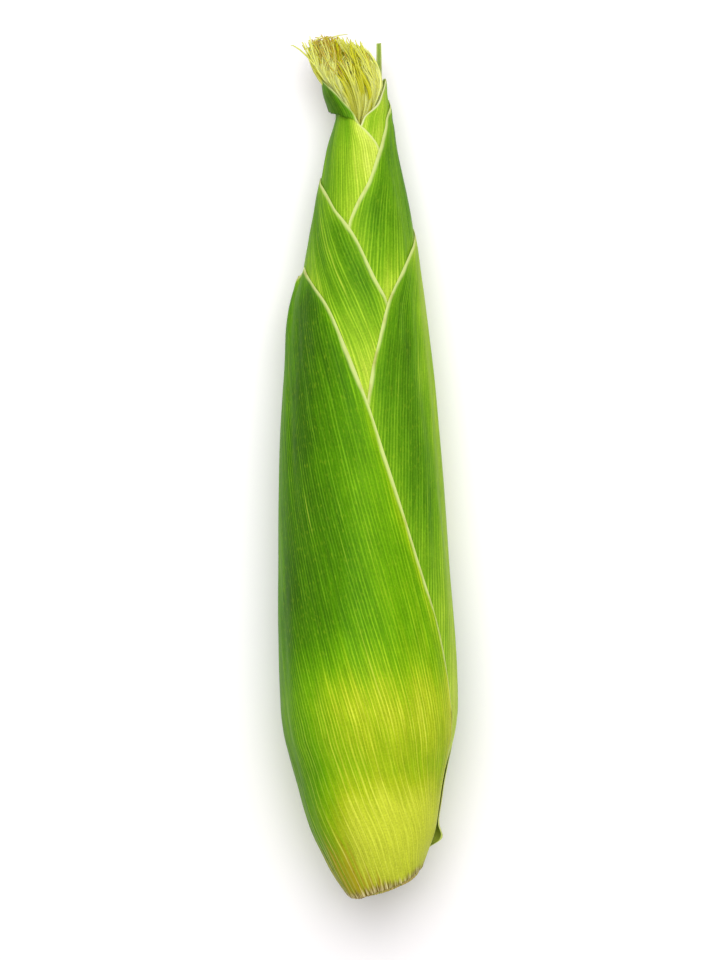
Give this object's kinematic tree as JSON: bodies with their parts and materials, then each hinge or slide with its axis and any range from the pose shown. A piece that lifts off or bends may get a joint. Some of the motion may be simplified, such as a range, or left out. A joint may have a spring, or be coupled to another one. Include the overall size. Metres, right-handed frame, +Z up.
{
  "type": "ear of sweet corn in its husk",
  "caption": "Whole ear of sweet corn lying on its side, still wrapped in overlapping green husk leaves, with a tuft of pale silk at the tip and a cut shank at the butt.",
  "frame": {"origin": "centre of the bounding box in X and Y, on the surface that the ear lies on (z = 0)", "axes": "+Z up; +Y along the ear from the cut butt to the silk; +X to the right when the ear is seen from above with its silk at the top"},
  "size_m": [0.0566, 0.2822, 0.057],
  "materials": {
    "outer_husk": "fresh green husk leaf, satin, ribbed lengthwise by its veins, lime yellow near the butt",
    "middle_husk": "fresh green husk leaf, satin, ribbed lengthwise, with a pale rim",
    "inner_husk": "fresh yellow-green husk leaf, satin, finely ribbed, with a pale rim",
    "silk": "moist fine silk strands, pale yellow-green with brown tips",
    "cut_shank": "cut stalk, pale pith with a browned, fibrous rim",
    "kernels": "plump fresh kernels, glossy skin, pale yellow"
  },
  "bodies": {
    "root": {"shank": "cut_shank", "cob": "kernels", "husk_leaf_back_inner": "inner_husk", "husk_leaf_right_inner": "inner_husk", "husk_leaf_left_inner": "inner_husk", "husk_leaf_right_middle": "middle_husk", "husk_leaf_left_middle": "middle_husk", "husk_leaf_right_outer": "outer_husk", "husk_leaf_back_outer": "outer_husk", "husk_leaf_left_outer": "outer_husk", "silk_tuft": "silk"}
  },
  "joints": []
}
